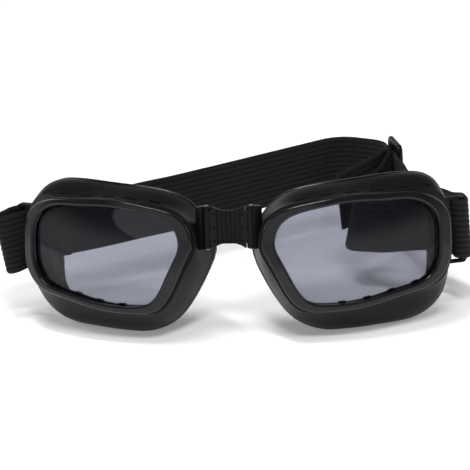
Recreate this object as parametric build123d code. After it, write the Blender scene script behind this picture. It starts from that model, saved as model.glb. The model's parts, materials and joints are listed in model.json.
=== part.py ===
from build123d import *
from math import radians, tan
import os

# Folding flying goggles, in millimetres. X runs to the right as seen from the front, Y from the
# lenses towards the wearer's head, Z up. The goggles stand on the lower edges of their face foam.

# Lens opening, seen square to the lens, and the sphere that the lens is cut from
lens_width = 67.5
lens_height = 41.5
lens_radius = 95.0
lens_thickness = 2.0
lens_lap = 1.3
lens_outline_shares = [
    (-0.500, 0.145), (-0.436, 0.333), (-0.273, 0.430), (-0.050, 0.487),
    (0.172, 0.492), (0.395, 0.455), (0.484, 0.325), (0.500, 0.108),
    (0.488, -0.108), (0.424, -0.265), (0.246, -0.373), (0.039, -0.458),
    (-0.169, -0.496), (-0.303, -0.465), (-0.407, -0.253), (-0.473, -0.036),
]

# Bezel that holds the lens against the cup
rim_side_band = 5.4
rim_top_band = 3.1
bezel_stand = 2.6
bezel_outer_round = 1.3
bezel_inner_round = 0.9
seat_gap = 0.05

# Moulded cup, from the rim to its back edge, which follows the face
wall = 2.0
front_wall = 2.2
shell_depth = 20.0
edge_step = 8.0
face_radius = 98.0
back_width = 81.3
back_height = 62.8
back_drop = 1.4
back_inset = 0.5
flare_start = 6.0
flare_swell = 0.8
back_outline_shares = [
    (-0.476, 0.046), (-0.436, 0.235), (-0.338, 0.372), (-0.134, 0.449),
    (0.087, 0.481), (0.296, 0.500), (0.440, 0.455), (0.492, 0.300),
    (0.500, 0.000), (0.478, -0.290), (0.380, -0.420), (0.180, -0.483),
    (-0.134, -0.498), (-0.275, -0.430), (-0.380, -0.265), (-0.448, -0.090),
]

# Vent slots in the upper wall, just behind the rim
vent_pitch = 10.1
vent_length = 5.8
vent_width = 1.4
vent_setback = 2.6
vent_count = 6
vent_first = -22.0

# Lens rests inside the cup, at the lower edge of the lens opening
rest_pitch = 10.1
rest_length = 2.6
rest_stand = 0.6
rest_gap = 0.3
rest_count = 4
rest_first = -7.0

# Face foam on the back edge of the cup
foam_depth = 4.0
foam_width = 6.0
foam_inset = 0.5
foam_round = 1.0

# How the cup sits about its hinge: the lens turns back at its outer end and leans back at its top
wrap_angle = 17.4
lean_angle = 12.0
cup_reach = 44.3
cup_ahead = 3.6
cup_below = 19.5
hinge_half_gap = 9.2
hinge_top_height = 54.3

# Hinge between each cup and the nose bridge
hinge_height = 17.5
barrel_radius = 2.0
socket_radius = 4.4
socket_gap = 0.7
socket_open = 1.2
knuckle_height = 2.0
knuckle_gap = 0.15
knuckle_round = 0.7
pin_radius = 0.9
pin_fit = 0.05
pin_stand = 0.4
pin_chamfer = 0.25

# Ribbed rubber web of the nose bridge
web_thickness = 2.4
web_end_gap = 0.4
web_end_trim = 0.2
web_top_waist = 1.9
web_bottom_waist = 2.2
rib_groove_count = 6
rib_pitch = 1.8
rib_groove_radius = 0.5
seam_hole_side = 1.0
seam_hole_depth = 0.7
seam_hole_count = 3
seam_hole_pitch = 5.3

# Strap webbing, and the ear with the bar that it goes round on each cup
strap_width = 25.0
strap_thickness = 1.3
strap_bottom = 23.3
ear_rise = 5.8
ear_back = 17.0
ear_out = 39.5
ear_root = 2.6
ear_thickness = 2.8
ear_land = 1.6
ear_height = 28.4
ear_corner = 2.4
slot_width = 3.6
slot_spare = 1.6
bar_width = 3.2
bar_round = 1.2
left_slot_lead = 2.4
left_tip_out = 10.6
left_tip_ahead = 12.7
left_tip_radius = 1.7
left_turn_out = 14.6
left_turn_lead = 5.0
left_turn_radius = 8.0
right_fold_radius = 3.2
sewn_start = 8.0
sewn_end = 24.0
right_inner_lead = 17.0
right_outer_lead = 10.0
fold_share = 0.98
corner_share = 0.45

# Route of the strap seen from above, as shares of its half width and its depth
strap_reach = 100.0
strap_depth = 126.0
rear_route_shares = [(-0.38, 0.492), (0.32, 1.000), (0.50, 0.932)]
side_route_shares = [(0.66, 0.603), (0.69, 0.500), (0.84, 0.373)]
bow_route_shares = [(0.78, 0.365), (0.58, 0.397), (0.45, 0.444), (0.475, 0.571)]

# Strap slider, a frame with two windows and a centre bar
slider_length = 21.0
slider_end_bar = 2.6
slider_centre_bar = 2.4
slider_thickness = 2.4
centre_bar_thickness = 1.8
centre_bar_drop = 1.1
centre_bar_round = 0.4
slider_rail = 3.2
slider_window_spare = 1.6
slider_round = 1.0
slider_corner = 3.0
slider_x = 60.0
slider_y = 101.0
slider_turn = -73.0
slider_lead = 2.5
window_turn = 0.9
window_bend_radius = 2.0
wrap_radius = 1.0
bow_entry_shares = (0.76, -0.52)
tail_route_shares = [(-0.10, -0.26), (0.22, -0.44), (1.13, -1.50)]
tail_bend_radius = 2.0
strap_clearance = 0.15

# Space for cutting tools to run past the faces they cut
overrun = 20.0


def outline(shares, width, height, x=0.0, y=0.0, z=0.0):
    """Face bounded by a smooth closed curve through shares of a width and a height."""
    curve = Spline(*[(x + width * share_x, y + height * share_y) for share_x, share_y in shares],
                   periodic=True)
    return Pos(0, 0, z) * make_face(curve)


def lens_face(margin=0.0):
    """The lens opening, widened all round by a margin."""
    return outline(lens_outline_shares, lens_width + 2 * margin, lens_height + 2 * margin)


def lens_ball(offset=0.0):
    """The ball that the lens front is part of, larger or smaller by an offset, its seam behind."""
    return Pos(0, 0, -lens_radius) * Rot(90, 0, 0) * Rot(0, 0, -90) * Sphere(lens_radius + offset)


def prism(face):
    """A face drawn out along the lens axis, from in front of the cup to behind it."""
    return extrude(Pos(0, 0, overrun) * face, amount=-shell_depth - foam_depth - 2 * overrun)


def rim_size():
    """Width and height of the bezel, seen square to the lens."""
    return lens_width + 2 * rim_side_band, lens_height + 2 * rim_top_band


def cup_loft(inset):
    """The flared body of the cup, shrunk all round by an inset."""
    rim_width, rim_height = rim_size()
    rim_start = outline(lens_outline_shares, rim_width - 2 * inset, rim_height - 2 * inset,
                        z=bezel_stand)
    rim_end = outline(lens_outline_shares, rim_width + 2 * (flare_swell - inset),
                      rim_height + 2 * (flare_swell - inset), z=-flare_start)
    edges = [back_face(inset, -shell_depth - i * edge_step) for i in range(3)]
    return loft([rim_start, rim_end, *edges])


def back_face(inset, z):
    """The cup's outline at its back edge, shrunk all round by an inset."""
    return outline(back_outline_shares, back_width - 2 * inset, back_height - 2 * inset,
                   x=-back_inset, y=-back_drop, z=z)


def face_cylinder(depth):
    """Upright cylinder for the wearer's face, touching the cup's axis at a depth behind the lens."""
    axis = Pos(0, 0, -depth - face_radius) * Rot(90, 0, 0)
    return axis * Cylinder(face_radius, 2 * back_height)


def vent_cutter(x):
    """A round-ended slot cut up through the top wall, behind the rim at that place."""
    half_rim = rim_size()[1] / 2
    rim_z = -(x ** 2 + half_rim ** 2) / (2 * lens_radius)
    slot = SlotOverall(vent_length, vent_width)
    tool = extrude(Rot(90, 0, 0) * slot, amount=back_height / 4, both=True)
    return Pos(x, half_rim + back_height / 8, rim_z - vent_setback) * tool


def lens_rests():
    """Short blocks behind the lens that stand up past the lower edge of its opening."""
    behind_lens = lens_ball(-lens_thickness - rest_gap) - lens_ball(-lens_thickness - front_wall)
    inner_edge = prism(lens_face(lens_lap) - lens_face(-rest_stand)) & behind_lens
    block = Box(rest_length, lens_height, 2 * shell_depth, align=(Align.CENTER, Align.MAX, Align.CENTER))
    return [inner_edge & Pos(rest_first + i * rest_pitch, 0, 0) * block for i in range(rest_count)]


def cup_shell():
    """The moulded cup, square to its lens, with the lens seat, the opening, the rests and the vents."""
    body = cup_loft(0.0) & lens_ball()
    body -= face_cylinder(shell_depth)
    body -= cup_loft(wall) & lens_ball(-lens_thickness - front_wall)
    body -= prism(lens_face())
    body -= prism(lens_face(lens_lap + seat_gap)) - lens_ball(-lens_thickness - seat_gap)
    for rest in lens_rests():
        body += rest
    for i in range(vent_count):
        body -= vent_cutter(vent_first + i * vent_pitch)
    return body


def cup_lens():
    return (prism(lens_face(lens_lap)) & lens_ball(-seat_gap)) - lens_ball(-lens_thickness)


def cup_bezel():
    """The rounded ring in front of the lens edge."""
    rim_width, rim_height = rim_size()
    ring = prism(outline(lens_outline_shares, rim_width, rim_height)) - prism(lens_face())
    ring = (ring & lens_ball(bezel_stand)) - lens_ball(seat_gap)
    front = ring.faces().filter_by(GeomType.SPHERE).sort_by(Axis.Z)[-1]
    inner_edges = front.inner_wires()[0].edges()
    ring = fillet(inner_edges, bezel_inner_round)
    front = ring.faces().filter_by(GeomType.SPHERE).sort_by(Axis.Z)[-1]
    return fillet(front.outer_wire().edges(), bezel_outer_round)


def cup_foam():
    """The foam ring behind the cup's back edge, rounded where it meets the face."""
    ring = prism(back_face(foam_inset, 0.0)) - prism(back_face(foam_inset + foam_width, 0.0))
    ring = (ring & face_cylinder(shell_depth + seat_gap)) - face_cylinder(shell_depth + foam_depth)
    rear = ring.faces().filter_by(GeomType.CYLINDER).sort_by(Axis.Z)[0]
    return fillet(rear.edges(), foam_round)


def at_lens(piece):
    """A cup piece moved from the lens's frame to the hinge's frame."""
    return Pos(cup_reach, -cup_ahead, -cup_below) * Rot(0, 0, wrap_angle) * Rot(90, 0, 0) * piece


def at_hinge():
    """Place of the right hinge, whose axis leans back with the cup."""
    return Pos(hinge_half_gap, 0, hinge_top_height) * Rot(-lean_angle, 0, 0)


def barrel(radius, low, high):
    """Upright cylinder on the hinge axis between two depths below the barrel's top."""
    return Pos(0, 0, -low) * Cylinder(radius, low - high, align=(Align.CENTER, Align.CENTER, Align.MIN))


def rounded_barrel(radius):
    """A barrel over the whole height of the hinge, its ends rounded."""
    full = barrel(radius, hinge_height, 0)
    return fillet(full.edges().filter_by(GeomType.CIRCLE), knuckle_round)


def through():
    """Depths that run past both ends of the hinge."""
    return hinge_height + overrun, -overrun


def sleeve_depths():
    """Depths below the barrel's top of the sleeve between the two knuckles."""
    return hinge_height - knuckle_height - knuckle_gap, knuckle_height + knuckle_gap


def hinge_socket():
    """The open socket and the two knuckles that hold the bridge's sleeve."""
    outer = rounded_barrel(socket_radius)
    cup_side = Pos(socket_open, 0, 0) * Box(2 * socket_radius, 2 * socket_radius, 3 * hinge_height,
                                            align=(Align.MIN, Align.CENTER, Align.CENTER))
    socket = (outer & cup_side) + rounded_barrel(barrel_radius)
    low, high = hinge_height - knuckle_height, knuckle_height
    return socket - barrel(barrel_radius + socket_gap, low, high)


def ear_place():
    """Place of the strap ear on the cup's outer wall, upright and square to the wall."""
    wall_point = at_hinge() * at_lens(Pos(ear_out, ear_rise, -ear_back))
    point = wall_point.position
    return Pos(point.X, point.Y, strap_bottom + strap_width / 2) * Rot(0, 0, wrap_angle)


def slot_middle():
    """Distance from the cup's wall to the middle of the strap slot."""
    return ear_land + slot_width / 2


def strap_ear():
    """The ear with a long slot and a rounded bar."""
    reach = ear_land + slot_width + bar_width
    plate = Pos((reach - ear_root) / 2, 0, 0) * Box(reach + ear_root, ear_thickness, ear_height)
    slot = Pos(slot_middle(), 0, 0) * Box(slot_width, ear_thickness + overrun, strap_width + slot_spare)
    ear = plate - slot
    bar_edges = ear.edges().filter_by(Axis.Z).filter_by_position(Axis.X, ear_land + slot_width / 2, reach)
    corners = plate.edges().filter_by(Axis.Y).sort_by(Axis.X)[-2:]
    return fillet(bar_edges, bar_round) & fillet(corners, ear_corner)


def ground_cut():
    """Everything below the surface that the goggles stand on."""
    size = 4 * cup_reach
    return Pos(0, 0, -size / 2) * Box(2 * size, size, size)


def right_frame():
    """The right cup with its hinge socket and its strap ear."""
    clearance = barrel(barrel_radius + socket_gap, hinge_height - knuckle_height, knuckle_height)
    cup = at_lens(cup_shell()) - clearance + hinge_socket() - barrel(pin_radius + seat_gap, *through())
    cavity = at_lens(cup_loft(wall) & lens_ball(-lens_thickness - front_wall))
    ear = ear_place() * strap_ear() - at_hinge() * cavity
    return at_hinge() * cup + ear - ground_cut()


def hinge_pin():
    """The pin, pressed in both knuckles."""
    pin = barrel(pin_radius, hinge_height + pin_stand, -pin_stand)
    return chamfer(pin.edges().filter_by(GeomType.CIRCLE), pin_chamfer)


def nose_bridge():
    """Two sleeves and the ribbed, waisted web between them."""
    reach = hinge_half_gap - barrel_radius - web_end_gap
    web = Box(2 * reach, web_thickness, hinge_height - 2 * web_end_trim,
              align=(Align.CENTER, Align.CENTER, Align.MAX))
    web = Pos(0, 0, -web_end_trim) * web
    web &= extrude(Plane.XZ * web_elevation(reach), amount=web_thickness, both=True)
    low, high = sleeve_depths()
    neck = Pos(0, 0, -low) * Box(2 * hinge_half_gap, web_thickness, low - high,
                                 align=(Align.CENTER, Align.CENTER, Align.MIN))
    bridge = web + neck
    for side in (-1, 1):
        bridge += Pos(side * hinge_half_gap, 0, 0) * barrel(barrel_radius, low, high)
    for cutter in rib_grooves() + seam_holes(reach):
        bridge -= cutter
    for side in (-1, 1):
        bore = barrel(pin_radius + pin_fit, *through())
        bridge -= Pos(side * hinge_half_gap, 0, 0) * bore
    return bridge


def web_elevation(reach):
    """Front view of the web: straight ends, and a top and a bottom edge waisted to arcs."""
    top = -web_end_trim
    bottom = -hinge_height + web_end_trim
    top_arc = ThreePointArc((-reach, top), (0, -web_top_waist), (reach, top))
    bottom_arc = ThreePointArc((reach, bottom), (0, bottom + web_bottom_waist), (-reach, bottom))
    right_end = Line((reach, top), (reach, bottom))
    left_end = Line((-reach, bottom), (-reach, top))
    return make_face([top_arc, right_end, bottom_arc, left_end])


def rib_grooves():
    """Round grooves between the ribs, on both faces of the web."""
    first = -rib_pitch * (rib_groove_count - 1) / 2
    groove = barrel(rib_groove_radius, *through())
    return [Pos(first + i * rib_pitch, face * web_thickness / 2, 0) * groove
            for i in range(rib_groove_count) for face in (-1, 1)]


def seam_holes(reach):
    """Small square holes in a row down each end of the web's front face."""
    x = reach - seam_hole_side
    middle = -hinge_height / 2
    hole = Box(seam_hole_side, 2 * seam_hole_depth, seam_hole_side)
    return [Pos(side * x, -web_thickness / 2, middle + (i - (seam_hole_count - 1) / 2) * seam_hole_pitch)
            * hole for side in (-1, 1) for i in range(seam_hole_count)]


def slider_place():
    """Place of the slider: X along the strap towards the right cup, Y outwards, Z up."""
    return Pos(slider_x, slider_y, strap_bottom + strap_width / 2) * Rot(0, 0, slider_turn)


def strap_slider():
    """A rounded frame with two windows, and a centre bar set back towards the head."""
    window_height = strap_width + slider_window_spare
    height = window_height + 2 * slider_rail
    frame = Box(slider_length, slider_thickness, height)
    frame = fillet(frame.edges().filter_by(Axis.Y), slider_corner)
    frame -= Box(slider_length - 2 * slider_end_bar, slider_thickness + overrun, window_height)
    frame = fillet(frame.faces().sort_by(Axis.Y)[-1].outer_wire().edges(), slider_round)
    frame = fillet(frame.faces().sort_by(Axis.Y)[0].outer_wire().edges(), slider_round)
    bar = Box(slider_centre_bar, centre_bar_thickness, window_height + slider_rail)
    bar = fillet(bar.edges().filter_by(Axis.Z), centre_bar_round)
    return frame + Pos(0, -centre_bar_drop, 0) * bar


def ear_point(side, x, y):
    """Point in the ear's frame, seen from above, on the left (-1) or the right (1) cup."""
    point = (ear_place() * Pos(x, y, 0)).position
    return side * point.X, point.Y


def slider_point(x, y):
    """Point in the slider's frame, seen from above."""
    point = (slider_place() * Pos(x, y, 0)).position
    return point.X, point.Y


def route_points(shares):
    return [(x * strap_reach, y * strap_depth, None) for x, y in shares]


def left_fold_route():
    """From the end sewn to the band, through the left slot and a flat fold, back to the band."""
    turn = Vector(*ear_point(-1, left_turn_out, left_turn_lead))
    along = (Vector(*route_points(rear_route_shares)[0][:2]) - turn).normalized()
    inward = along.rotate(Axis.Z, -90) * (strap_thickness + strap_clearance)
    sewn = [turn + along * sewn_end + inward, turn + along * sewn_start + inward]
    slot = [Vector(*ear_point(-1, slot_middle(), lead)) for lead in (left_slot_lead, -left_slot_lead)]
    tip = Vector(*ear_point(-1, left_tip_out, -left_tip_ahead))
    across = (tip - slot[-1]).normalized().rotate(Axis.Z, -90) * (2 * left_tip_radius)
    return [*[(point.X, point.Y, None) for point in sewn + slot],
            *[(point.X, point.Y, fold_share * left_tip_radius) for point in (tip, tip + across)],
            (turn.X, turn.Y, left_turn_radius)]


def right_fold_route():
    """From the outer layer, round the right bar and back through its slot."""
    inner, outer = slot_middle(), slot_middle() + 2 * right_fold_radius
    corners = [(*ear_point(1, x, -right_fold_radius), fold_share * right_fold_radius)
               for x in (outer, inner)]
    return [(*ear_point(1, outer, right_outer_lead), None), *corners,
            (*ear_point(1, inner, right_inner_lead), None)]


def slider_weave():
    """Behind one end bar, over the centre bar and behind the other end bar."""
    half = strap_thickness / 2 + strap_clearance
    low = -slider_thickness / 2 - half
    wrap_top = centre_bar_thickness / 2 - centre_bar_drop + 2 * half
    high = wrap_top + half
    far = slider_length / 2 + slider_lead
    window_edge = slider_length / 2 - slider_end_bar - window_turn
    over = slider_centre_bar / 2 + half + strap_thickness / 2 + strap_clearance
    corners = [(-window_edge, low), (-over, high), (over, high), (window_edge, low)]
    route = [(*slider_point(x, y), window_bend_radius) for x, y in corners]
    return [(*slider_point(-far, low), None), *route, (*slider_point(far, low), None)]


def slider_wrap():
    """From the bow, round the centre bar and off again as the short tail."""
    half = strap_thickness / 2 + strap_clearance
    x = slider_centre_bar / 2 + half
    top = centre_bar_thickness / 2 - centre_bar_drop + half
    bottom = -centre_bar_thickness / 2 - centre_bar_drop - half
    entry = [share * slider_length for share in bow_entry_shares]
    wrap = [(x, bottom), (x, top), (-x, top)]
    tail = [(a * slider_length, b * slider_length) for a, b in tail_route_shares]
    return [(*slider_point(*entry), None), *[(*slider_point(*p), wrap_radius) for p in wrap],
            (*slider_point(*tail[0]), tail_bend_radius),
            *[(*slider_point(*p), None) for p in tail[1:]]]


def corner_radius(before, corner, after):
    """Radius that takes the corner over a fixed share of its shorter run."""
    run_in = Vector(*corner) - Vector(*before)
    run_out = Vector(*after) - Vector(*corner)
    half_turn = radians(run_in.get_angle(run_out) / 2)
    return corner_share * min(run_in.length, run_out.length) / tan(half_turn)


def strap_path():
    """The strap's middle line from its sewn left end to its tail at the slider."""
    route = (left_fold_route() + route_points(rear_route_shares) + slider_weave()
             + route_points(side_route_shares) + right_fold_route() + route_points(bow_route_shares)
             + slider_wrap())
    places = [point[:2] for point in route]
    radii = []
    for i in range(1, len(route) - 1):
        fixed = route[i][2]
        radii.append(corner_radius(*places[i - 1:i + 2]) if fixed is None else fixed)
    return FilletPolyline(*places, radius=radii)


def elastic_strap():
    """One length of webbing on edge, fused from its straight runs and its bends."""
    path = Pos(0, 0, strap_bottom + strap_width / 2) * strap_path()
    runs = []
    for edge in path.edges():
        start = Plane(edge @ 0, x_dir=(0, 0, 1), z_dir=edge % 0)
        runs.append(sweep(start * Rectangle(strap_width, strap_thickness), path=edge))
    return runs[0].fuse(*runs[1:])


def place_cup_piece(piece):
    """A cup piece moved from the lens's frame to the right cup's place."""
    return at_hinge() * at_lens(piece)


def all_pieces():
    """Every piece by its name, the left cup's as mirror images of the right cup's."""
    right_pieces = {
        "frame": right_frame(),
        "bezel": place_cup_piece(cup_bezel()),
        "lens": place_cup_piece(cup_lens()),
        "foam": place_cup_piece(cup_foam()) - ground_cut(),
        "hinge_pin": at_hinge() * hinge_pin(),
    }
    pieces = {}
    for name, piece in right_pieces.items():
        pieces["right_" + name] = piece
        pieces["left_" + name] = mirror(piece, about=Plane.YZ)
    pieces["nose_bridge"] = Pos(-hinge_half_gap, 0, 0) * at_hinge() * nose_bridge()
    pieces["strap_slider"] = slider_place() * strap_slider()
    pieces["elastic_strap"] = elastic_strap()
    return pieces


def standing_place(pieces):
    """The move that puts the middle of the part's underside on the origin."""
    boxes = [piece.bounding_box() for piece in pieces.values()]
    middle_x = (min(box.min.X for box in boxes) + max(box.max.X for box in boxes)) / 2
    middle_y = (min(box.min.Y for box in boxes) + max(box.max.Y for box in boxes)) / 2
    return Pos(-middle_x, -middle_y, -min(box.min.Z for box in boxes))


def main():
    os.makedirs("parts", exist_ok=True)
    pieces = all_pieces()
    place = standing_place(pieces)
    for name, piece in pieces.items():
        placed = place * piece
        placed.label = name
        export_step(placed, os.path.join("parts", name + ".step"))


if __name__ == "__main__":
    main()
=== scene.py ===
import json
import math

import bmesh
import bpy
from mathutils import Matrix, Vector, noise
from mathutils.geometry import interpolate_bezier


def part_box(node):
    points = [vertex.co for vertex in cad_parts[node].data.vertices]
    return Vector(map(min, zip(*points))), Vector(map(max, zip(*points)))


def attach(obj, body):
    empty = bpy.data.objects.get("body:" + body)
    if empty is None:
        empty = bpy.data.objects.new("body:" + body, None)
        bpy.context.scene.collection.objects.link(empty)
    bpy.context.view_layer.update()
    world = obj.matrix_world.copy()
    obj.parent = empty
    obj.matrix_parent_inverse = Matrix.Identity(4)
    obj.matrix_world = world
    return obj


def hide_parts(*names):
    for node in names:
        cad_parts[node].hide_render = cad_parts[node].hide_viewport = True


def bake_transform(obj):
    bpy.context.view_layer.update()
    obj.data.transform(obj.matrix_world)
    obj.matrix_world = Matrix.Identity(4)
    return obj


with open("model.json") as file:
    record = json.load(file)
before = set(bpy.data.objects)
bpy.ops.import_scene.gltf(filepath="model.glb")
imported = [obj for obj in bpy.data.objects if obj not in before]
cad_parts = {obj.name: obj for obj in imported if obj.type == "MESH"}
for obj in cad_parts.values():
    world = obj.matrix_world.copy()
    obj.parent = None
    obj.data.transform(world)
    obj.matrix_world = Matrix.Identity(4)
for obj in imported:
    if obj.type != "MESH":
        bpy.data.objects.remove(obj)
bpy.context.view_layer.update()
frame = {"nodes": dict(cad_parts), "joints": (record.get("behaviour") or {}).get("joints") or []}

bl_info = {
    "name": "Folding flying goggles",
    "version": (1, 0, 0),
    "blender": (4, 5, 0),
    "location": "View3D > Sidebar > Goggles",
    "description": "Finishes, soft parts, stage and camera for a pair of folding goggles",
    "category": "Object",
}

SIDES = {"right": 1, "left": -1}
MM = 0.001
PHOTO_PIXELS = 470


def hinge_middle():
    """Point midway between the tops of the two hinges, where every place below is measured from."""
    places = [Vector(joint["pos_m"]) for joint in frame["joints"] if joint["name"].endswith("_fold")]
    return (places[0] + places[1]) / 2


class StrapProperties(bpy.types.PropertyGroup):
    width: bpy.props.FloatProperty(
        name="Width", description="Height of the webbing on edge", default=25 * MM, unit="LENGTH")
    thickness: bpy.props.FloatProperty(
        name="Thickness", description="Thickness over the ribs", default=1.25 * MM, unit="LENGTH")
    middle_drop: bpy.props.FloatProperty(
        name="Middle drop", description="How far the strap's middle is below the hinge tops",
        default=18.5 * MM, unit="LENGTH")
    rib_count: bpy.props.IntProperty(
        name="Ribs", description="Ribs across the webbing", default=11, min=3)
    rib_depth: bpy.props.FloatProperty(
        name="Rib depth", description="Depth of the grooves between ribs", default=0.28 * MM,
        unit="LENGTH")
    straight_step: bpy.props.FloatProperty(
        name="Straight step", description="Longest mesh step on a straight run", default=3.0 * MM,
        unit="LENGTH")
    bend_step: bpy.props.FloatProperty(
        name="Bend step", description="Turn between two mesh steps in a bend",
        default=math.radians(9), subtype="ANGLE")


class FinishProperties(bpy.types.PropertyGroup):
    cup_colour: bpy.props.FloatVectorProperty(
        name="Cup colour", description="Moulded cups", default=(0.0038, 0.0038, 0.0045), subtype="COLOR")
    bezel_colour: bpy.props.FloatVectorProperty(
        name="Bezel colour", description="Rims round the lenses", default=(0.0055, 0.0055, 0.0068),
        subtype="COLOR")
    lens_colour: bpy.props.FloatVectorProperty(
        name="Lens colour", description="Colour that each face of a lens lets through",
        default=(0.69, 0.70, 0.77), subtype="COLOR")
    lens_body: bpy.props.FloatProperty(
        name="Lens body", description="Share of each lens face that is its own smoky surface",
        default=0.24, min=0, max=1, subtype="FACTOR")
    foam_colour: bpy.props.FloatVectorProperty(
        name="Foam colour", description="Face foam", default=(0.0045, 0.0045, 0.005), subtype="COLOR")
    rubber_colour: bpy.props.FloatVectorProperty(
        name="Rubber colour", description="Nose bridge", default=(0.0055, 0.0055, 0.0065), subtype="COLOR")
    strap_colour: bpy.props.FloatVectorProperty(
        name="Strap colour", description="Elastic webbing", default=(0.006, 0.006, 0.0065),
        subtype="COLOR")


class StageProperties(bpy.types.PropertyGroup):
    floor_size: bpy.props.FloatProperty(
        name="Floor size", description="Side of the floor", default=8.0, unit="LENGTH")
    floor_colour: bpy.props.FloatVectorProperty(
        name="Floor colour", description="Pale studio floor", default=(0.93, 0.93, 0.93), subtype="COLOR")
    floor_lift: bpy.props.FloatProperty(
        name="Floor lift", description="Light that the far floor adds where the camera sees it",
        default=0.5, min=0)
    near_lift: bpy.props.FloatProperty(
        name="Near lift", description="Share of the floor lift that is left round the goggles",
        default=0.34, min=0, max=1, subtype="FACTOR")
    lift_start: bpy.props.FloatProperty(
        name="Lift start", description="Distance from the goggles where the floor lift starts to grow",
        default=0.12, unit="LENGTH")
    lift_end: bpy.props.FloatProperty(
        name="Lift end", description="Distance from the goggles where the floor lift is whole",
        default=0.6, unit="LENGTH")
    camera_distance: bpy.props.FloatProperty(
        name="Camera distance", description="From the middle of the hinges", default=0.9, unit="LENGTH")
    camera_lens: bpy.props.FloatProperty(
        name="Focal length", description="Focal length in millimetres", default=170.2)
    camera_view: bpy.props.FloatVectorProperty(
        name="View", description="Direction that the camera looks in",
        default=(-0.15584, 0.94431, -0.28982), subtype="XYZ")
    camera_right: bpy.props.FloatVectorProperty(
        name="Right", description="Direction to the right of the picture",
        default=(0.98764, 0.14390, -0.06219), subtype="XYZ")
    hinge_pixel: bpy.props.FloatVectorProperty(
        name="Hinge pixel", description="Where the middle of the hinges lies in the picture",
        default=(228.46, 205.65), size=2)


PROPERTY_GROUPS = {
    "goggles_strap": StrapProperties,
    "goggles_finish": FinishProperties,
    "goggles_stage": StageProperties,
}


class Value:
    """A shader socket that Python's operators work on by adding Math nodes."""

    def __init__(self, shader, socket):
        self.shader = shader
        self.socket = socket

    def math(self, operation, *values):
        return self.shader.node("ShaderNodeMath", {"operation": operation}, dict(enumerate(values)))

    def __add__(self, other):
        return self.math("ADD", self, other)

    def __mul__(self, other):
        return self.math("MULTIPLY", self, other)

    def __sub__(self, other):
        return self.math("SUBTRACT", self, other)

    def __rsub__(self, other):
        return self.math("SUBTRACT", other, self)

    def __abs__(self):
        return self.math("ABSOLUTE", self)

    __radd__ = __add__
    __rmul__ = __mul__

    def sine(self):
        return self.math("SINE", self)

    def step(self, low, high):
        """Smooth rise from 0 at low to 1 at high."""
        settings = {"interpolation_type": "SMOOTHSTEP"}
        ends = {"Value": self, "From Min": low, "From Max": high}
        return self.shader.node("ShaderNodeMapRange", settings, ends)


class Shader:
    """A material with one Principled surface and the nodes that feed it."""

    def __init__(self, name, **fixed):
        self.material = bpy.data.materials.new(name)
        self.material.use_nodes = True
        self.nodes = self.material.node_tree.nodes
        self.links = self.material.node_tree.links
        self.surface = self.nodes["Principled BSDF"]
        self.place = self.node("ShaderNodeTexCoord", output="Object")
        self.feed(**fixed)

    def node(self, kind, settings=None, inputs=None, output=0):
        """Adds a node with its settings and inputs, and returns one of its outputs."""
        made = self.nodes.new(kind)
        for name, value in (settings or {}).items():
            setattr(made, name, value)
        for name, value in (inputs or {}).items():
            self.join(made.inputs[name], value)
        return Value(self, made.outputs[output])

    def join(self, socket, value):
        if isinstance(value, Value):
            self.links.new(value.socket, socket)
        else:
            socket.default_value = value

    def feed(self, **inputs):
        for name, value in inputs.items():
            self.join(self.surface.inputs[name.replace("_", " ")], value)

    def noise(self, size, detail=2.0, stretch=(1, 1, 1)):
        """Even noise from 0 to 1 with grains of a size in metres."""
        where = self.node("ShaderNodeMapping", inputs={"Vector": self.place, "Scale": stretch})
        return self.node("ShaderNodeTexNoise", inputs={"Vector": where, "Scale": 1 / size,
                                                       "Detail": detail})

    def cells(self, size):
        return self.node("ShaderNodeTexVoronoi", inputs={"Vector": self.place, "Scale": 1 / size})

    def mix(self, share, first, second):
        """Colour between two colours."""
        settings = {"data_type": "RGBA"}
        inputs = {"Factor": share, 6: opaque(first), 7: opaque(second)}
        return self.node("ShaderNodeMix", settings, inputs, output=2)

    def bump(self, height, depth):
        """Sets the surface's relief from a height of 0 to 1 and a depth in metres."""
        relief = self.node("ShaderNodeBump", inputs={"Height": height, "Distance": depth})
        self.feed(Normal=relief)


def opaque(colour):
    """A colour of three or four channels with an alpha of 1, or a shader value as it is."""
    return colour if isinstance(colour, Value) else (*colour[:3], 1.0)


def scaled(colour, factor):
    """A colour with each channel times a factor."""
    return tuple(channel * factor for channel in colour)


# Sizes of what the materials show
GLOSS_PATCH = 14 * MM
WIPE_MARK = 9 * MM
FOAM_PORE = 0.75 * MM
FOAM_FUZZ = 0.35 * MM
FOAM_PORE_DEPTH = 0.12 * MM
CROSS_THREAD_PITCH = 0.9 * MM
LONG_THREAD_PITCH = 0.55 * MM
WEBBING_FUZZ = 0.5 * MM
WEBBING_WEAR = 16 * MM
WEAVE_DEPTH = 0.09 * MM
STEEL_RING = 0.2 * MM
FLOOR_PATCH = 600 * MM


def moulded_plastic(name, colour, roughness, grain, grain_depth, gloss=0.14):
    """Moulded plastic or rubber: a fine spark-eroded grain with softly uneven gloss."""
    shader = Shader(name, Specular_IOR_Level=gloss, IOR=1.49)
    broad = shader.noise(GLOSS_PATCH)
    fine = shader.noise(grain, detail=3.0)
    shader.feed(Base_Color=shader.mix(broad, scaled(colour, 0.85), scaled(colour, 1.25)),
                Roughness=roughness + (broad - 0.5) * 0.10 + (fine - 0.5) * 0.08)
    shader.bump(fine, grain_depth)
    return shader.material


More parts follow.
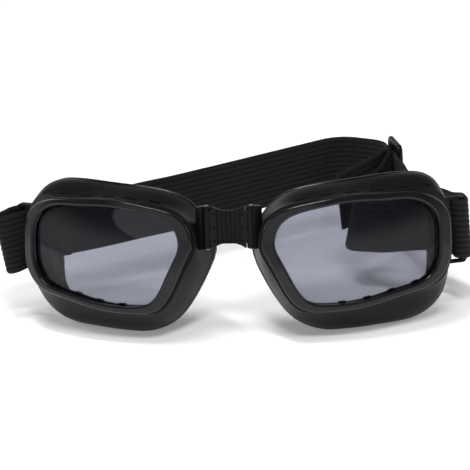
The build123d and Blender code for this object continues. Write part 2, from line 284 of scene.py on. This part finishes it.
def smoked_lens(name, colour, body):
    """Smoked plastic: part clear and tinted, part its own glossy surface with faint wipe marks."""
    shader = Shader(name, Specular_IOR_Level=0.9, IOR=1.58)
    marks = shader.noise(WIPE_MARK, detail=4.0, stretch=(1, 1, 3))
    shader.feed(Base_Color=shader.mix(marks, (0.005, 0.005, 0.007), (0.009, 0.009, 0.013)),
                Roughness=0.03 + marks.step(0.55, 0.8) * 0.05)
    clear = shader.node("ShaderNodeBsdfTransparent", inputs={"Color": opaque(colour)})
    whole = shader.node("ShaderNodeMixShader", inputs={
        "Fac": body, 1: clear, 2: Value(shader, shader.surface.outputs[0])})
    shader.links.new(whole.socket, shader.nodes["Material Output"].inputs["Surface"])
    return shader.material


def open_foam(name, colour):
    """Open-cell foam: round pores over a matt surface, with painted shade darkening the pores against their
    walls.
    """
    shader = Shader(name, Specular_IOR_Level=0.1, Sheen_Weight=0.03, Sheen_Roughness=0.6)
    pores = shader.cells(FOAM_PORE)
    fuzz = shader.noise(FOAM_FUZZ, detail=3.0)
    # Painted shade: the colour is darker down in each pore and paler on the walls between pores; the same
    # mask raises the walls in the bump.
    pore_walls_and_shade = pores.step(0.15, 0.6)
    shader.feed(Base_Color=shader.mix(pore_walls_and_shade, scaled(colour, 0.6), scaled(colour, 1.3)),
                Roughness=0.88 + fuzz * 0.1)
    shader.bump(pore_walls_and_shade * 0.8 + fuzz * 0.2, FOAM_PORE_DEPTH)
    return shader.material


def elastic_webbing(name, colour, rib_pitch):
    """Woven elastic: ribs along it, painted paler on their tops and darker in the grooves as painted light
    and shade, cross threads over them, and fine fuzz.
    """
    shader = Shader(name, Specular_IOR_Level=0.15, Sheen_Weight=0.03, Sheen_Roughness=0.5)
    along = shader.node("ShaderNodeAttribute", {"attribute_name": "along"}, output="Fac")
    across = shader.node("ShaderNodeAttribute", {"attribute_name": "across"}, output="Fac")
    threads = (along * (2 * math.pi / CROSS_THREAD_PITCH)).sine() * 0.5 + 0.5
    strands = (across * (2 * math.pi / LONG_THREAD_PITCH)).sine() * 0.5 + 0.5
    # The ribs' colour is painted light and shade: paler on each rib's top and darker in the grooves between
    # ribs.
    ribs = abs((across * (math.pi / rib_pitch)).sine())
    fuzz = shader.noise(WEBBING_FUZZ, detail=4.0)
    wear = shader.noise(WEBBING_WEAR)
    weave = threads * 0.55 + strands * 0.25 + fuzz * 0.2
    tone = ribs * (0.55 + wear * 0.3) + weave * 0.35
    shader.feed(Base_Color=shader.mix(tone, scaled(colour, 0.3), scaled(colour, 2.4)),
                Roughness=0.72 + fuzz * 0.2)
    shader.bump(weave, WEAVE_DEPTH)
    return shader.material


def drawn_steel(name):
    """Steel drawn through a die, with faint rings round it."""
    shader = Shader(name, Metallic=1.0)
    rings = shader.noise(STEEL_RING, stretch=(1, 1, 0.1))
    shader.feed(Base_Color=shader.mix(rings, (0.30, 0.30, 0.32), (0.48, 0.48, 0.5)),
                Roughness=0.28 + rings * 0.15)
    return shader.material


def dress(node, material):
    """Gives a CAD node its finish."""
    piece = frame["nodes"][node]
    piece.data.materials.clear()
    piece.data.materials.append(material)


def new_piece(name, bm, material):
    """A shown object from a bmesh, with its finish."""
    mesh = bpy.data.meshes.new(name)
    bm.to_mesh(mesh)
    bm.free()
    piece = bpy.data.objects.new(name, mesh)
    bpy.context.scene.collection.objects.link(piece)
    mesh.materials.append(material)
    mesh.shade_smooth()
    return piece


class FinishCups(bpy.types.Operator):
    """Finish the moulded cups and the rims round the lenses"""
    bl_idname = "goggles.finish_cups"
    bl_label = "Finish cups"

    def execute(self, context):
        finish = context.scene.goggles_finish
        cup = moulded_plastic("moulded_cup", finish.cup_colour, roughness=0.40, grain=0.35 * MM,
                              grain_depth=0.012 * MM)
        rim = moulded_plastic("glossy_rim", finish.bezel_colour, roughness=0.17, grain=0.5 * MM,
                              grain_depth=0.003 * MM, gloss=0.30)
        for side in SIDES:
            dress(side + "_frame", cup)
            dress(side + "_bezel", rim)
        return {"FINISHED"}


# Outline of a cup's back edge, as shares of its width and height, and how that edge lies, in
# millimetres: it is the CAD cup's own, about the lens's axis, on the round of the face
BACK_EDGE_SHARES = [
    (-0.476, 0.046), (-0.436, 0.235), (-0.338, 0.372), (-0.134, 0.449),
    (0.087, 0.481), (0.296, 0.500), (0.440, 0.455), (0.492, 0.300),
    (0.500, 0.000), (0.478, -0.290), (0.380, -0.420), (0.180, -0.483),
    (-0.134, -0.498), (-0.275, -0.430), (-0.380, -0.265), (-0.448, -0.090),
]
BACK_WIDTH = 81.3
BACK_HEIGHT = 62.8
BACK_MIDDLE = (-0.5, -1.4)
BACK_DEPTH = 20.0
FACE_RADIUS = 98.0
BEAD_RADIUS = 0.75
BEAD_SINK = 0.3
BEAD_STEPS = 8
TUBE_WELD_DISTANCE = 0.001 * MM
LOOP_TURNS = 40
WRAP_ANGLE = math.radians(17.4)
LEAN_ANGLE = math.radians(12.0)
LENS_PLACE = (44.3, -3.6, -19.5)
HINGE_HALF_GAP = 9.2


def smooth_loop(places, steps):
    """Points on the smooth closed curve through places, in steps to each span."""
    count = len(places)
    spans = [(places[(i + 1) % count] - places[i]).length for i in range(count)]
    slopes = [(places[(i + 1) % count] - places[i]) / spans[i] for i in range(count)]
    ways = list(slopes)
    for _ in range(LOOP_TURNS):
        for i in range(count):
            before, after = spans[i - 1], spans[i]
            pull = 3 * (after * slopes[i - 1] + before * slopes[i])
            ways[i] = (pull - after * ways[i - 1] - before * ways[(i + 1) % count]) / (2 * (before + after))
    loop = []
    for i in range(count):
        ahead = (i + 1) % count
        bezier = (places[i], places[i] + ways[i] * spans[i] / 3,
                  places[ahead] - ways[ahead] * spans[i] / 3, places[ahead])
        loop += interpolate_bezier(*bezier, steps + 1)[:-1]
    return loop


def cup_place(side):
    """Turns a place about the lens's axis, in millimetres, into one on the cup of a side."""
    hinge = Matrix.Translation((HINGE_HALF_GAP, 0, 0)) @ Matrix.Rotation(-LEAN_ANGLE, 4, "X")
    lens = Matrix.Translation(LENS_PLACE) @ Matrix.Rotation(WRAP_ANGLE, 4, "Z")
    mirror = Matrix.Diagonal((SIDES[side], 1, 1, 1))
    scale = Matrix.Translation(hinge_middle()) @ Matrix.Scale(MM, 4)
    return scale @ mirror @ hinge @ lens @ Matrix.Rotation(math.radians(90), 4, "X")


class MakeEdgeBeads(bpy.types.Operator):
    """Make the glossy bead round the back edge of each cup"""
    bl_idname = "goggles.make_edge_beads"
    bl_label = "Make edge beads"

    def execute(self, context):
        finish = context.scene.goggles_finish
        material = moulded_plastic("edge_bead", finish.bezel_colour, roughness=0.16, grain=0.5 * MM,
                                   grain_depth=0.002 * MM, gloss=0.6)
        outline = []
        for share_x, share_y in BACK_EDGE_SHARES:
            outline.append(Vector((BACK_MIDDLE[0] + (BACK_WIDTH - 2 * BEAD_SINK) * share_x,
                                   BACK_MIDDLE[1] + (BACK_HEIGHT - 2 * BEAD_SINK) * share_y, 0)))
        for side in SIDES:
            place = cup_place(side)
            points = []
            for point in smooth_loop(outline, BEAD_STEPS):
                depth = BACK_DEPTH + FACE_RADIUS - math.sqrt(FACE_RADIUS ** 2 - point.x ** 2)
                spot = place @ Vector((point.x, point.y, BEAD_RADIUS - depth))
                spot.z = max(spot.z, BEAD_RADIUS * MM)
                points.append(spot)
            piece = tube_piece(side + "_edge_bead", points, BEAD_RADIUS * MM, material)
            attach(piece, side + "_cup")
        return {"FINISHED"}


def tube_piece(name, points, radius, material):
    """A closed round tube along points."""
    curve = bpy.data.curves.new(name, "CURVE")
    curve.dimensions = "3D"
    curve.bevel_depth = radius
    curve.bevel_resolution = 3
    line = curve.splines.new("POLY")
    line.points.add(len(points) - 1)
    for knot, point in zip(line.points, points):
        knot.co = (*point, 1)
    line.use_cyclic_u = True
    holder = bpy.data.objects.new(name, curve)
    bm = bmesh.new()
    bm.from_mesh(bpy.data.meshes.new_from_object(holder))
    bpy.data.objects.remove(holder)
    bmesh.ops.remove_doubles(bm, verts=bm.verts, dist=TUBE_WELD_DISTANCE)
    bmesh.ops.recalc_face_normals(bm, faces=bm.faces)
    return new_piece(name, bm, material)


class FinishLenses(bpy.types.Operator):
    """Finish the smoked lenses"""
    bl_idname = "goggles.finish_lenses"
    bl_label = "Finish lenses"

    def execute(self, context):
        finish = context.scene.goggles_finish
        lens = smoked_lens("smoked_lens", finish.lens_colour, finish.lens_body)
        for side in SIDES:
            dress(side + "_lens", lens)
        return {"FINISHED"}


class FinishBridge(bpy.types.Operator):
    """Finish the rubber nose bridge, the hinge pins and the strap slider"""
    bl_idname = "goggles.finish_bridge"
    bl_label = "Finish bridge"

    def execute(self, context):
        finish = context.scene.goggles_finish
        rubber = moulded_plastic("bridge_rubber", finish.rubber_colour, roughness=0.42, grain=0.3 * MM,
                                 grain_depth=0.012 * MM)
        plastic = moulded_plastic("slider_plastic", finish.cup_colour, roughness=0.32, grain=0.4 * MM,
                                  grain_depth=0.012 * MM)
        dress("nose_bridge", rubber)
        dress("strap_slider", plastic)
        pin = drawn_steel("pin_steel")
        for side in SIDES:
            dress(side + "_hinge_pin", pin)
        return {"FINISHED"}


class MakeFoam(bpy.types.Operator):
    """Make the foam rings on the back edges of the cups"""
    bl_idname = "goggles.make_foam"
    bl_label = "Make foam rings"

    def execute(self, context):
        material = open_foam("face_foam", context.scene.goggles_finish.foam_colour)
        for side in SIDES:
            make_foam_ring(side, material)
        return {"FINISHED"}


WELD_DISTANCE = 0.01 * MM
FOAM_VOXEL = 0.9 * MM
FOAM_LUMP = 3.0 * MM
FOAM_LUMP_HEIGHT = 0.10 * MM
FOAM_LUMP_MIDDLE = 0.3
FOAM_SMOOTH_TURNS = 3


def make_foam_ring(side, material):
    """A soft, slightly lumpy ring from the CAD ring's form."""
    node = side + "_foam"
    bm = bmesh.new()
    bm.from_mesh(frame["nodes"][node].data)
    bmesh.ops.remove_doubles(bm, verts=bm.verts, dist=WELD_DISTANCE)
    piece = new_piece(side + "_foam_ring", bm, material)
    remesh = piece.modifiers.new("Even skin", "REMESH")
    remesh.mode = "VOXEL"
    remesh.voxel_size = FOAM_VOXEL
    shown = piece.evaluated_get(bpy.context.evaluated_depsgraph_get())
    even = bpy.data.meshes.new_from_object(shown)
    piece.modifiers.clear()
    bm = bmesh.new()
    bm.from_mesh(even)
    bpy.data.meshes.remove(even)
    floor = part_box(node)[0].z
    for _ in range(FOAM_SMOOTH_TURNS):
        bmesh.ops.smooth_vert(bm, verts=bm.verts, factor=0.5, use_axis_x=True, use_axis_y=True,
                              use_axis_z=True)
    bm.normal_update()
    for vert in bm.verts:
        lump = (noise.noise(vert.co / FOAM_LUMP) - FOAM_LUMP_MIDDLE) * FOAM_LUMP_HEIGHT
        vert.co += vert.normal * lump
        vert.co.z = max(vert.co.z, floor)
    bm.to_mesh(piece.data)
    bm.free()
    piece.data.shade_smooth()
    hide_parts(node)
    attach(piece, side + "_cup")


# Middle line of the strap seen from above, from its sewn left end to its tail: places in
# millimetres from the middle of the hinges, and the radius of each bend
STRAP_LEFT_ROUTE = [
    (-76.6, 40.1, 0.0), (-90.8, 32.6, 4.8), (-88.6, 24.4, 7.5), (-90.1, 19.8, 6.9),
    (-100.0, 12.1, 1.7), (-102.1, 14.8, 1.7), (-98.5, 30.2, 8.0), (-38.0, 62.0, 238.1),
    (32.0, 126.0, 13.3), (50.0, 117.4, 14.9), (54.3, 112.8, 11.7), (56.0, 107.1, 2.0),
    (61.3, 104.3, 2.0), (62.1, 101.65, 0.0),
]
STRAP_RIGHT_ROUTE = [
    (62.1, 101.65, 0.0), (62.9, 99.0, 2.0), (60.1, 93.7, 2.0), (61.9, 88.0, 162.3),
    (66.0, 76.0, 111.0), (69.0, 63.0, 22.3), (84.0, 47.0, 74.4), (92.5, 33.5, 45.9),
    (96.4, 20.9, 3.1), (90.3, 19.0, 3.1), (84.3, 38.3, 23.3), (78.0, 46.0, 12.5),
    (58.0, 50.0, 56.0), (45.0, 55.9, 8.5), (47.5, 71.9, 27.1), (54.2, 82.5, 33.4),
    (57.9, 98.3, 1.0), (61.2, 99.3, 1.0), (60.0, 103.1, 1.0), (54.2, 101.4, 2.0),
    (52.5, 93.9, 19.7), (36.8, 69.1, 0.0),
]
# How the loose webbing hangs, in millimetres: distance along it, its drop, and how far its top
# edge and its bottom edge stand to the right
STRAP_HANG = {
    "left": [(0, 2.1, 0, 0), (14, 1.8, 0, 0), (23, 0.7, 0, 0), (28, 0.7, 0, 0.4), (38, 1.2, 0, 3.2),
             (46, 1.2, 0, 3.6), (56, 1.8, 0, 1.5), (66, 2.0, 0, 0), (82, 2.0, 0, 0),
             (125, 0.4, 0, 0), (150, 0, 0, 0)],
    "right": [(14, 0, 0, 0), (40, 1.2, 0, 0), (56, 2.6, 0, 0), (68, 2.2, -0.4, 0), (84, -0.7, -0.7, 0),
              (104, -0.7, -0.7, 0), (124, 4.2, 0, -1.5), (145, 6.4, 0, -3.6), (156, 6.8, 0, -5.4),
              (166, 6.2, 0, -5.4), (180, 4.0, 0, -2.5), (202, 0.2, 0, 0), (216, 0.2, 0, 0),
              (250, 2.0, 0, 1.5)],
}
# Pieces of the strap: name, route, the span of it in millimetres, what holds it, the two bodies
# that it bends between, and where, seen from above, that bend starts and ends
STRAP_PIECES = [
    ("left_strap", "left", (0, 212), "left_frame", ("left_cup", "bridge"), ((-86.0, 34.0), (20.0, 112.0))),
    ("slider_entry_strap", "left", (212, 260), "strap_slider", ("bridge", "slider"),
     ((26.5, 120.5), (54.5, 112.0))),
    ("slider_exit_strap", "right", (0, 27), "strap_slider", ("slider", "bridge"),
     ((60.6, 92.5), (65.5, 76.8))),
    ("right_strap", "right", (27, 172), "right_frame", ("right_cup", "bridge"), ((92.0, 34.0), (66.5, 75.0))),
    ("slider_return_strap", "right", (172, 252), "strap_slider", ("bridge", "slider"),
     ((48.0, 72.0), (57.3, 95.5))),
]


def rounded_route(route, straight_step, bend_step):
    """Points along straight runs joined by round bends, with the direction at each."""
    runs = [Vector(point[:2]) * MM for point in route]
    points = [(runs[0], (runs[1] - runs[0]).normalized())]
    for i in range(1, len(route)):
        way_in = (runs[i] - runs[i - 1]).normalized()
        if i == len(route) - 1:
            straight_to(points, runs[i], way_in, straight_step)
            break
        way_out = (runs[i + 1] - runs[i]).normalized()
        turn = way_in.angle_signed(way_out)
        trim = route[i][2] * MM * math.tan(abs(turn) / 2)
        straight_to(points, runs[i] - way_in * trim, way_in, straight_step)
        arc = abs(turn) * route[i][2] * MM
        steps = max(1, math.ceil(abs(turn) / bend_step), math.ceil(arc / (2 * straight_step)))
        side = Vector((-way_in.y, way_in.x)) * (-1 if turn > 0 else 1)
        start = runs[i] - way_in * trim
        centre = start + side * route[i][2] * MM
        for step in range(1, steps + 1):
            spin = Matrix.Rotation(-turn * step / steps, 2)
            points.append((centre + spin @ (start - centre), spin @ way_in))
    return points


def straight_to(points, target, way, longest):
    """Adds even steps on a straight run to a target."""
    start = points[-1][0]
    steps = max(1, math.ceil((target - start).length / longest))
    for step in range(1, steps + 1):
        points.append((start.lerp(target, step / steps), way))


# Round of one rib: share of its pitch, and share of its height there
RIB_ROUND_SHARES = [(0.0, 0.0), (0.18, 0.75), (0.5, 1.0), (0.82, 0.75)]


def rib_outline(strap):
    """Closed outline of the webbing's cut end: thickness across X, height up Z."""
    half = strap.thickness / 2
    pitch = strap.width / strap.rib_count
    face = []
    for rib in range(strap.rib_count):
        for share, lift in RIB_ROUND_SHARES:
            z = -strap.width / 2 + (rib + share) * pitch
            face.append((half - strap.rib_depth * (1 - lift), z))
    face.append((half - strap.rib_depth, strap.width / 2))
    return face + [(-x, -z) for x, z in face]


def hang_at(hang, along):
    """Drop, and shifts of the top and bottom edges, in metres at a distance along the webbing."""
    start = max((entry for entry in hang if entry[0] <= along / MM), default=hang[0])
    end = min((entry for entry in hang if entry[0] > along / MM), default=hang[-1])
    share = max(0.0, along / MM - start[0]) / max(end[0] - start[0], 1)
    share = share * share * (3 - 2 * share)
    return [(start[i] + (end[i] - start[i]) * share) * MM for i in (1, 2, 3)]


def ribbon_frames(route, hang, strap):
    """Distance along the webbing, and the place of its cut section, at each step of a route."""
    middle = hinge_middle() - Vector((0, 0, strap.middle_drop))
    frames = []
    along = 0.0
    last = None
    for point, way in rounded_route(route, strap.straight_step, strap.bend_step):
        if last is not None:
            along += (point - last).length
        drop, top, bottom = hang_at(hang, along)
        hung = middle + point.to_3d() + Vector(((top + bottom) / 2, 0, -drop))
        slant = Matrix.Identity(4)
        slant[0][2] = (top - bottom) / strap.width
        frames.append((along, Matrix.Translation(hung) @ slant @ way_turn(way)))
        last = point
    return frames


def frame_near(frames, along):
    """Number of the frame nearest to a distance along the webbing, in millimetres."""
    return min(range(len(frames)), key=lambda i: abs(frames[i][0] - along * MM))


def make_webbing(name, frames, material, strap):
    """A ribbed ribbon on edge through its frames, with its length and height in attributes."""
    bm = bmesh.new()
    along_layer = bm.verts.layers.float.new("along")
    across_layer = bm.verts.layers.float.new("across")
    ring = [bm.verts.new((x, 0, z)) for x, z in rib_outline(strap)]
    for vert in ring:
        vert[across_layer] = vert.co.z + strap.width / 2
        vert[along_layer] = frames[0][0]
    first_edges = [bm.edges.new((ring[i], ring[(i + 1) % len(ring)])) for i in range(len(ring))]
    bm.faces.new(ring)
    place = frames[0][1]
    bmesh.ops.transform(bm, matrix=place, verts=bm.verts)
    edges = first_edges
    for along, target in frames[1:]:
        grown = bmesh.ops.extrude_edge_only(bm, edges=edges)["geom"]
        ring = [item for item in grown if isinstance(item, bmesh.types.BMVert)]
        edges = [item for item in grown if isinstance(item, bmesh.types.BMEdge)
                 and all(vert in ring for vert in item.verts)]
        bmesh.ops.transform(bm, matrix=target @ place.inverted(), verts=ring)
        for vert in ring:
            vert[along_layer] = along
        place = target
    bmesh.ops.contextual_create(bm, geom=edges)
    for edge in (*first_edges, *edges):
        edge.smooth = False
    bmesh.ops.recalc_face_normals(bm, faces=bm.faces)
    return new_piece(name, bm, material)


def way_turn(way):
    """Turn that takes +Y to a direction seen from above."""
    return Matrix.Rotation(math.atan2(-way.x, way.y), 4, "Z")


class MakeStrap(bpy.types.Operator):
    """Make the ribbed elastic strap as separate runs, one for each listed piece"""
    bl_idname = "goggles.make_strap"
    bl_label = "Make strap"

    def execute(self, context):
        strap = context.scene.goggles_strap
        material = elastic_webbing("elastic_webbing", context.scene.goggles_finish.strap_colour,
                                   strap.width / strap.rib_count)
        routes = {"left": STRAP_LEFT_ROUTE, "right": STRAP_RIGHT_ROUTE}
        frames = {side: ribbon_frames(route, STRAP_HANG[side], strap) for side, route in routes.items()}
        for name, side, span, held_by, bodies, bend in STRAP_PIECES:
            first, last = (frame_near(frames[side], along) for along in span)
            run = frames[side][first:last + 1]
            piece = make_webbing(name, run, material, strap)
            run[-1][0] - run[0][0]
            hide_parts("elastic_strap")
            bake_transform(piece)
        return {"FINISHED"}


class SetStage(bpy.types.Operator):
    """Set the floor, the studio light and the camera"""
    bl_idname = "goggles.set_stage"
    bl_label = "Set stage"

    def execute(self, context):
        stage = context.scene.goggles_stage
        make_floor(stage)
        light_surround(context.scene)
        light_lamps(context.scene)
        place_camera(context.scene, stage)
        context.scene.view_settings.view_transform = "Standard"
        return {"FINISHED"}


def seen_rays(shader):
    """1 where a ray comes from the camera, or by a mirror or a lens from it."""
    path = "ShaderNodeLightPath"
    rays = [shader.node(path, output=name) for name in
            ("Is Camera Ray", "Is Glossy Ray", "Is Transmission Ray")]
    return rays[0].math("MAXIMUM", rays[0], rays[1].math("MAXIMUM", rays[1], rays[2]))


def make_floor(stage):
    """A pale floor that keeps its shadows and adds light to itself where the camera sees it."""
    bm = bmesh.new()
    bmesh.ops.create_grid(bm, x_segments=4, y_segments=4, size=stage.floor_size / 2)
    mesh = bpy.data.meshes.new("floor")
    bm.to_mesh(mesh)
    bm.free()
    floor = bpy.data.objects.new("floor", mesh)
    bpy.context.scene.collection.objects.link(floor)
    shader = Shader("pale_floor", Roughness=0.9, Specular_IOR_Level=0.1,
                    Emission_Strength=stage.floor_lift)
    tone = shader.noise(FLOOR_PATCH)
    away = shader.node("ShaderNodeVectorMath", {"operation": "LENGTH"}, {0: shader.place},
                       output="Value")
    lift = stage.near_lift + away.step(stage.lift_start, stage.lift_end) * (1 - stage.near_lift)
    shader.feed(Base_Color=shader.mix(tone, stage.floor_colour, scaled(stage.floor_colour, 1.01)),
                Emission_Color=shader.mix(seen_rays(shader) * lift, (0, 0, 0), (1, 1, 1)))
    mesh.materials.append(shader.material)


# Strength of the surround for light that the camera doesn't see: near the horizon and overhead,
# and the heights, as shares of straight up, between which it changes
SURROUND_LOW = 0.9
SURROUND_HIGH = 0.12
SURROUND_HEIGHTS = (0.10, 0.34)


def light_surround(scene):
    """A surround that is white to the camera and, for other rays, darker overhead."""
    world = bpy.data.worlds.new("studio")
    scene.world = world
    world.use_nodes = True
    nodes = world.node_tree.nodes
    links = world.node_tree.links
    background = nodes["Background"]
    path = nodes.new("ShaderNodeLightPath")
    seen = nodes.new("ShaderNodeMath")
    seen.operation = "MAXIMUM"
    links.new(path.outputs["Is Camera Ray"], seen.inputs[0])
    links.new(path.outputs["Is Transmission Ray"], seen.inputs[1])
    way = nodes.new("ShaderNodeTexCoord")
    height = nodes.new("ShaderNodeSeparateXYZ")
    links.new(way.outputs["Generated"], height.inputs[0])
    ceiling = nodes.new("ShaderNodeMapRange")
    ceiling.interpolation_type = "SMOOTHSTEP"
    for name, value in (("From Min", SURROUND_HEIGHTS[0]), ("From Max", SURROUND_HEIGHTS[1]),
                        ("To Min", SURROUND_LOW), ("To Max", SURROUND_HIGH)):
        ceiling.inputs[name].default_value = value
    links.new(height.outputs["Z"], ceiling.inputs["Value"])
    lift = nodes.new("ShaderNodeMath")
    lift.operation = "MAXIMUM"
    links.new(seen.outputs[0], lift.inputs[0])
    links.new(ceiling.outputs[0], lift.inputs[1])
    background.inputs["Color"].default_value = (1, 1, 1, 1)
    links.new(lift.outputs[0], background.inputs["Strength"])


# Name, place from the middle of the hinges in metres, size in metres, power in watts, and
# whether glossy surfaces mirror it
LAMPS = [
    ("top_lamp", (-0.12, -0.12, 0.95), (0.60, 0.09), 5.3, True),
    ("left_lamp", (-1.10, 0.15, 0.50), (0.2, 0.7), 2.8, True),
    ("right_lamp", (1.10, 0.15, 0.50), (0.2, 0.7), 2.8, True),
    ("front_lamp", (-0.31, -1.14, 0.55), (1.3, 0.6), 1.8, True),
    ("front_fill", (0.20, -0.66, 0.92), (0.45, 0.25), 7.0, False),
]


def light_lamps(scene):
    """Soft lamps that look at the middle of the hinges."""
    middle = hinge_middle()
    for name, offset, size, energy, mirrored in LAMPS:
        lamp = bpy.data.lights.new(name, "AREA")
        lamp.shape = "ELLIPSE"
        lamp.size = size[0]
        lamp.size_y = size[1]
        lamp.energy = energy
        holder = bpy.data.objects.new(name, lamp)
        holder.location = middle + Vector(offset)
        holder.rotation_euler = (-Vector(offset)).to_track_quat("-Z", "Y").to_euler()
        holder.visible_glossy = mirrored
        scene.collection.objects.link(holder)


def place_camera(scene, stage):
    """Puts the camera where the photograph was taken from."""
    view = Vector(stage.camera_view).normalized()
    right = Vector(stage.camera_right)
    right = (right - view * right.dot(view)).normalized()
    up = right.cross(view)
    camera = bpy.data.cameras.new("camera")
    camera.sensor_width = 36.0
    camera.lens = stage.camera_lens
    camera.clip_start = 0.01
    camera.shift_x = (PHOTO_PIXELS / 2 - stage.hinge_pixel[0]) / PHOTO_PIXELS
    camera.shift_y = (stage.hinge_pixel[1] - PHOTO_PIXELS / 2) / PHOTO_PIXELS
    holder = bpy.data.objects.new("camera", camera)
    turn = Matrix((right, up, -view)).transposed().to_4x4()
    holder.matrix_world = Matrix.Translation(hinge_middle() - view * stage.camera_distance) @ turn
    scene.collection.objects.link(holder)
    scene.camera = holder


class GogglesPanel(bpy.types.Panel):
    """Steps that finish the goggles"""
    bl_idname = "VIEW3D_PT_goggles"
    bl_label = "Goggles"
    bl_space_type = "VIEW_3D"
    bl_region_type = "UI"
    bl_category = "Goggles"

    def draw(self, context):
        for operator in OPERATORS:
            self.layout.operator(operator.bl_idname)
        for group in PROPERTY_GROUPS:
            settings = getattr(context.scene, group)
            box = self.layout.box()
            for name in settings.__annotations__:
                box.prop(settings, name)


OPERATORS = [FinishCups, MakeEdgeBeads, FinishLenses, FinishBridge, MakeFoam, MakeStrap, SetStage]


def register():
    for group, kind in PROPERTY_GROUPS.items():
        bpy.utils.register_class(kind)
        setattr(bpy.types.Scene, group, bpy.props.PointerProperty(type=kind))
    for kind in (*OPERATORS, GogglesPanel):
        bpy.utils.register_class(kind)


def unregister():
    for kind in (GogglesPanel, *reversed(OPERATORS)):
        bpy.utils.unregister_class(kind)
    for group, kind in PROPERTY_GROUPS.items():
        delattr(bpy.types.Scene, group)
        bpy.utils.unregister_class(kind)


def main():
    register()
    bpy.ops.goggles.finish_cups()
    bpy.ops.goggles.make_edge_beads()
    bpy.ops.goggles.finish_lenses()
    bpy.ops.goggles.finish_bridge()
    bpy.ops.goggles.make_foam()
    bpy.ops.goggles.make_strap()
    bpy.ops.goggles.set_stage()


if __name__ == "__main__":
    main()
